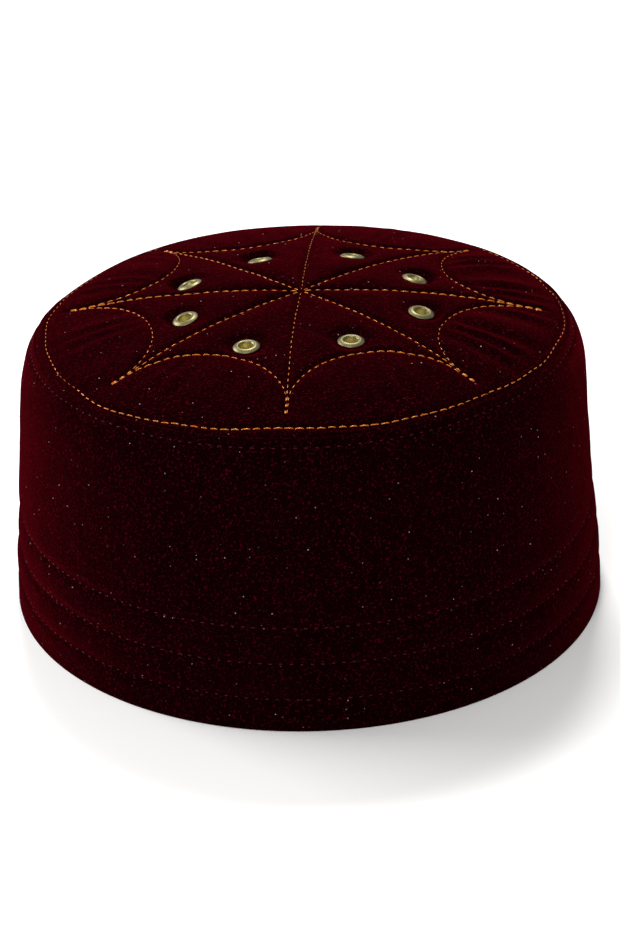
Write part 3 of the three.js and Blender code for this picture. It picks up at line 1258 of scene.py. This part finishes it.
        # Shares along the shoulder, each with how deep the edge rolls under there.
        rolled_under = [(form.seam_at, 0.25), (0.848, 0.12), (0.86, 0.03)]
        plain_edge = [(at, 0.0) for at in (0.885, 0.91, 0.935, 0.96, 0.98)]
        for at, tuck in rolled_under + plain_edge:
            plain = self.edge(at, tuck, bays)
            loops.append(self.edge(at, tuck + self.groove(plain[:, :2], seams), bays))
        for zone, rows in ((Zone.BORDER, self.border_rows), (Zone.STAR, self.star_rows)):
            for share in np.linspace(1, 0, rows, endpoint=False):
                loops.append(self.loop(zone, float(share), bays, seams))
        top = form.dome_height(self.middle) - form.groove_depth
        bottom = top - form.crown_thickness + form.groove_depth
        ends = [form.stand(self.middle[None], np.array([height])) for height in (top, bottom)]
        points = np.concatenate([*loops, *ends])
        numbers = np.arange(len(loops) * self.columns).reshape(len(loops), self.columns)
        cloth = np.full(len(loops) - 1, Cloth.PILE.value)
        cloth[:pile_from] = Cloth.BACKING.value
        faces = quads(numbers[:-1], numbers[1:])
        slots = [*np.repeat(cloth, self.columns), *np.repeat([Cloth.PILE.value], self.columns)]
        slots += [Cloth.BACKING.value] * self.columns
        last, first = numbers[-1], numbers[0]
        faces += [(a, b, len(points) - 2) for a, b in zip(last.tolist(), np.roll(last, -1).tolist())]
        faces += [(b, a, len(points) - 1) for a, b in zip(first.tolist(), np.roll(first, -1).tolist())]
        disc = make_mesh("crown_top_velvet", points, faces, np.array(slots))
        self.punch(disc)
        return disc

    def punch(self, disc: Piece) -> None:
        """Cuts the eyelets' holes through the cloth.

        Args:
            disc: The crown.
        """
        sides = self.hole_sides
        numbers = np.arange(2 * sides).reshape(2, sides)
        faces = quads(numbers[:-1], numbers[1:])
        faces += [tuple(numbers[0, ::-1].tolist()), tuple(numbers[1].tolist())]
        punches = []
        for k in range(len(BAYS)):
            seat = np.array(self.seat(k))
            ends = [on_circle(self.hole_radius, whole_round(sides), height) for height in (-6.0, 3.0)]
            punches.append(make_mesh("punch", np.concatenate(ends) @ seat[:3, :3].T + seat[:3, 3], faces))
            cut = disc.modifiers.new(f"hole_{k + 1}", "BOOLEAN")
            cut.operation = "DIFFERENCE"
            cut.solver = "MANIFOLD"
            cut.object = punches[-1]
        bpy.context.view_layer.update()
        evaluated = disc.evaluated_get(bpy.context.evaluated_depsgraph_get())
        cut_mesh = bpy.data.meshes.new_from_object(evaluated)
        disc.modifiers.clear()
        disc.data = cut_mesh
        for punch in punches:
            bpy.data.objects.remove(punch)

    def dress(self, top: Piece, pile: Material, backing: Material) -> None:
        """Dresses the crown in pile above and backing below.

        Args:
            top: The crown.
            pile: The finish of its upper face.
            backing: The finish of its underside.
        """
        tie(top, "velvet", pile, backing)
        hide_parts("crown_top")

    def lines(self, top: Piece) -> list[SewnLine]:
        """Drops the stitched lines onto the finished cloth.

        Args:
            top: The crown.

        Returns:
            The spokes, the scallops and last the ring, which is a whole round.
        """
        tree = BVHTree.FromObject(top, bpy.context.evaluated_depsgraph_get())
        paths = self.paths(0.01)
        lines = []
        for number, path in enumerate(paths):
            found = []
            for x, y, _ in self.form.stand(path, self.form.dome_height(path)).tolist():
                hit, normal, _, _ = tree.ray_cast(Vector((x * MM, y * MM, 1.0)), Vector((0, 0, -1)))
                found.append([*(value / MM for value in hit), *normal])
            on_cloth = np.array(found)
            lines.append(SewnLine(on_cloth[:, :3], on_cloth[:, 3:], number == len(paths) - 1))
        return lines


@dataclass
class Stitching:
    """Running stitches of one thread, each a short arch whose ends go down into the pile.

    The nap lies from front to back. It closes over stitches that run the same way, and those
    that run across it ride on top.
    """

    name: str
    slot: str
    thread: RayonThread
    pitch: float
    length: float
    thickness: float
    rise: float
    sink: float
    buried: float
    seed: int
    closed_over: float = 0.2
    end_taper: float = 0.4
    length_spread: float = 0.09
    skew_spread: float = 0.07
    twist_pitch: float = 1.6
    ply_ridge: float = 0.1
    sides: int = 8
    rings: int = 7

    def stitches(self, line: SewnLine) -> np.ndarray:
        """Lays stitches along a line on the cloth.

        Args:
            line: The line.

        Returns:
            Corners of all stitches, as stitch, ring, side and coordinate.
        """
        path, normals = line.points, line.normals
        if line.closed:
            path = np.concatenate([path, path[:1]])
            normals = np.concatenate([normals, normals[:1]])
        steps = np.linalg.norm(np.diff(path, axis=0), axis=1)
        run = np.concatenate([[0], np.cumsum(steps)])
        count = max(1, round(run[-1] / self.pitch))
        random = np.random.default_rng(self.seed + count)
        starts = (np.arange(count) + 0.5) * run[-1] / count
        lengths = self.length * (1 + self.length_spread * random.standard_normal(count).clip(-2, 2))
        across = self.skew_spread * random.standard_normal((count, 2)).clip(-2, 2)
        share = np.linspace(0, 1, self.rings)
        along = np.clip(starts[:, None] + (share - 0.5) * lengths[:, None], 0, run[-1])
        centre = np.stack([np.interp(along, run, path[:, k]) for k in range(3)], axis=-1)
        up = unit(np.stack([np.interp(along, run, normals[:, k]) for k in range(3)], axis=-1))
        ahead = unit(np.gradient(centre, axis=1))
        side = unit(np.cross(ahead, up))
        along_nap = np.abs(np.mean(ahead[..., 1], axis=1, keepdims=True))
        from_middle = np.abs(2 * share - 1)
        arch = self.rise * np.sin(math.pi * share) ** 0.6 - self.sink * from_middle**3
        arch = arch - self.buried * along_nap
        skew = across[:, :1] * (1 - share) + across[:, 1:] * share
        centre = centre + up * arch[..., None] + side * skew[..., None]
        swell = (1 - self.end_taper * from_middle**6) * (1 - self.closed_over * along_nap)
        around = whole_round(self.sides)
        twist = along[..., None] * 2 * math.pi / self.twist_pitch
        plies = 1 + self.ply_ridge * np.cos(2 * (around - twist))
        radius = self.thickness / 2 * swell[..., None] * plies
        flat = np.cos(around)[:, None] * side[..., None, :] + np.sin(around)[:, None] * up[..., None, :]
        return centre[..., None, :] + radius[..., None] * flat

    def build(self, lines: list[SewnLine]) -> Piece:
        """Builds all stitches of the thread as one mesh.

        Args:
            lines: The lines to stitch.

        Returns:
            The object.
        """
        corners = np.concatenate([self.stitches(line) for line in lines])
        count = len(corners)
        numbers = np.arange(corners.size // 3).reshape(count, self.rings, self.sides)
        faces = quads(numbers[:, :-1], numbers[:, 1:])
        faces += [tuple(cap) for cap in numbers[:, 0, ::-1].tolist()]
        faces += [tuple(cap) for cap in numbers[:, -1].tolist()]
        log.info("%s has %d stitches", self.name, count)
        return make_mesh(self.name, corners.reshape(-1, 3), faces)

    def dress(self, sewn: Piece) -> None:
        """Dresses the stitches in their thread."""
        tie(sewn, self.slot, self.thread.material())


@dataclass
class Eyelet:
    """A stamped brass eyelet: domed flange, rolled throat, barrel and the foot under the cloth."""

    flange_radius: float = 4.05
    flange_height: float = 0.9
    bore_radius: float = 2.0
    barrel_radius: float = 2.5
    foot_radius: float = 3.6
    foot_height: float = 0.8
    foot_curl: float = 0.35
    grip: float = 1.8
    edge: float = 0.22
    roll: float = 0.7
    sides: int = 56

    def section(self) -> tuple[np.ndarray, int]:
        """Traces the eyelet's section, foot first.

        Returns:
            Radius and height of each point, and where among them the throat begins.
        """
        foot = -self.grip - self.foot_height
        curl = np.radians(np.linspace(-90, 90, 7))
        lip_radius = self.foot_radius - self.foot_curl + self.foot_curl * np.cos(curl)
        lip_height = -self.grip + self.foot_height / 2 * (np.sin(curl) - 1)
        lip = np.stack([lip_radius, lip_height], 1)
        barrel = [[self.barrel_radius, -self.grip], [self.barrel_radius, 0.0]]
        barrel.append([self.flange_radius - 0.1, 0.0])
        crest = self.bore_radius + self.roll
        share = np.linspace(0, 1, 8)
        rise = (self.flange_height - self.edge) * np.sin(0.5 * math.pi * share)
        flange = np.stack([self.flange_radius + (crest - self.flange_radius) * share, self.edge + rise], 1)
        turn = np.radians(np.linspace(105, 180, 6))
        inner = np.stack([crest + self.roll * np.cos(turn), self.flange_height * np.sin(turn)], 1)
        throat_from = len(lip) + len(barrel) + len(flange) + 4
        throat = [(0.14, -0.5), (0.3, -1.2), (0.4, -1.9), (0.4, foot + 0.3), (0.28, foot + 0.08)]
        tube = [[self.bore_radius - closer, height] for closer, height in throat]
        mouth = [[self.bore_radius + 0.1, foot]]
        return np.concatenate([lip, barrel, flange, inner, tube, mouth]), throat_from

    def build(self, name: str, seat: np.ndarray) -> Piece:
        """Builds an eyelet as a turned section, with its flange and its throat in two slots.

        Args:
            name: The piece's name.
            seat: Turn and place of the underside of its flange.

        Returns:
            The object.
        """
        section, throat_from = self.section()
        loops = [on_circle(radius, whole_round(self.sides), height) for radius, height in section]
        points = np.concatenate(loops) @ seat[:3, :3].T + seat[:3, 3]
        numbers = np.arange(len(points)).reshape(len(loops), self.sides)
        polish = np.full(len(loops), Polish.HANDLED.value)
        # The throat takes a paler brass: painted light inside the bore.
        polish[throat_from:-1] = Polish.THROAT_PAINTED_LIGHT.value
        faces = quads(numbers, np.roll(numbers, -1, axis=0))
        return make_mesh(name, points, faces, np.repeat(polish, self.sides))

    def dress(self, ring: Piece, node: str, handled: Material, throat_painted_light: Material) -> None:
        """Dresses the eyelet in handled brass, with paler brass in its throat as painted light."""
        tie(ring, "eyelet_brass", handled, throat_painted_light)
        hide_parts(node)


@dataclass
class Studio:
    """Camera, pale floor and soft light. The lamps' target is in metres, as their places are."""

    focal_pixels: float = 2003.0
    image_height: int = 931
    distance: float = 647.0
    elevation: float = 0.460
    roll: float = -0.023
    aim: tuple[float, float, float] = (1.15, 0.5, 38.3)
    floor_reach: float = 3000.0
    sky_strength: float = 0.42
    lamp_target: tuple[float, float, float] = (0.0, 0.0, 0.05)

    def camera(self) -> None:
        """Makes the camera at the photograph's viewing angle."""
        data = bpy.data.cameras.new("camera")
        data.sensor_width = 36.0
        data.lens = self.focal_pixels * data.sensor_width / self.image_height
        data.clip_start, data.clip_end = 0.01, 20.0
        camera = bpy.data.objects.new("camera", data)
        bpy.context.scene.collection.objects.link(camera)
        back = Vector((0, -math.cos(self.elevation), math.sin(self.elevation)))
        up = Vector((0, math.sin(self.elevation), math.cos(self.elevation)))
        right = Vector((1, 0, 0))
        turned_right = math.cos(self.roll) * right + math.sin(self.roll) * up
        turned_up = -math.sin(self.roll) * right + math.cos(self.roll) * up
        turn = Matrix((turned_right, turned_up, back)).transposed()
        place = (Vector(self.aim) + back * self.distance) * MM
        camera.matrix_world = Matrix.Translation(place) @ turn.to_4x4()
        bpy.context.scene.camera = camera

    def floor(self) -> None:
        """Lays the pale paper that the hat stands on."""
        size = self.floor_reach
        points = np.array([[-size, -size, 0], [size, -size, 0], [size, size, 0], [-size, size, 0]])
        floor = make_mesh("paper_floor", points, [(0, 1, 2, 3)])
        floor.data.materials.append(PaperSweep().material())

    def hang(self, softbox: Softbox) -> None:
        """Hangs a light and points it at the hat.

        Args:
            softbox: The light.
        """
        data = bpy.data.lights.new(softbox.name, "AREA")
        data.size = softbox.width
        data.energy = softbox.power
        lamp = bpy.data.objects.new(softbox.name, data)
        lamp.location = softbox.place
        lamp.rotation_mode = "QUATERNION"
        to_hat = Vector(self.lamp_target) - Vector(softbox.place)
        lamp.rotation_quaternion = to_hat.to_track_quat("-Z", "Y")
        bpy.context.scene.collection.objects.link(lamp)

    def build(self) -> None:
        """Sets up the whole studio."""
        self.camera()
        self.floor()
        world = bpy.data.worlds.new("soft_white")
        world.use_nodes = True
        world.node_tree.nodes["Background"].inputs["Color"].default_value = (1, 1, 1, 1)
        world.node_tree.nodes["Background"].inputs["Strength"].default_value = self.sky_strength
        bpy.context.scene.world = world
        bpy.context.scene.view_settings.view_transform = "Standard"
        for softbox in SOFTBOXES:
            self.hang(softbox)


def gold_star() -> Stitching:
    """Returns the gold stitching of the crown."""
    # The second and third colours are lit and shaded tones of one gold dye: painted light and shade.
    thread = RayonThread("gold_rayon_thread", "#D9760E", "#924408", "#FFC878", roughness=0.26, gloss=1.0)
    return Stitching(
        "gold_star_stitches", "gold_thread", thread,
        pitch=3.0, length=2.9, thickness=0.37, rise=0.18, sink=0.36, buried=0.24, seed=11,
    )


def red_rows() -> Stitching:
    """Returns the dark red stitching of the wall."""
    # The second and third colours are lit and shaded tones of one red dye: painted light and shade.
    thread = RayonThread("red_rayon_thread", "#4E0814", "#220306", "#FFC0C4", roughness=0.55, gloss=0.15)
    return Stitching(
        "red_wall_stitches", "red_thread", thread,
        pitch=3.0, length=1.5, thickness=0.42, rise=-0.02, sink=0.45, buried=0.05, seed=23,
    )


def main() -> None:
    """Builds the studio and every piece, in order."""
    logging.basicConfig(level=logging.INFO, format="%(name)s: %(message)s")
    Studio().build()
    form = HatForm()
    pile, backing = VelvetPile().material(), WovenBacking().material()

    band = SideBand(form)
    band.dress(band.build(), pile, backing)

    crown = CrownTop(form)
    top = crown.build()
    crown.dress(top, pile, backing)

    bpy.context.view_layer.update()
    for stitching, lines in ((gold_star(), crown.lines(top)), (red_rows(), band.lines())):
        stitching.dress(stitching.build(lines))

    handled = EyeletBrass("handled_brass", worn="#8C8460", tarnished="#5C5538").material()
    # Paler brass for the throat: painted light that brightens the inside of the bore.
    throat_painted_light = EyeletBrass("throat_brass_painted_light", worn="#D6CA84", tarnished="#A89A56").material()
    for k in range(len(BAYS)):
        eyelet = Eyelet()
        ring = eyelet.build(f"eyelet_{k + 1}_brass", np.array(crown.seat(k)))
        eyelet.dress(ring, f"eyelet_{k + 1}", handled, throat_painted_light)

    bpy.context.view_layer.update()


if __name__ == "__main__":
    main()
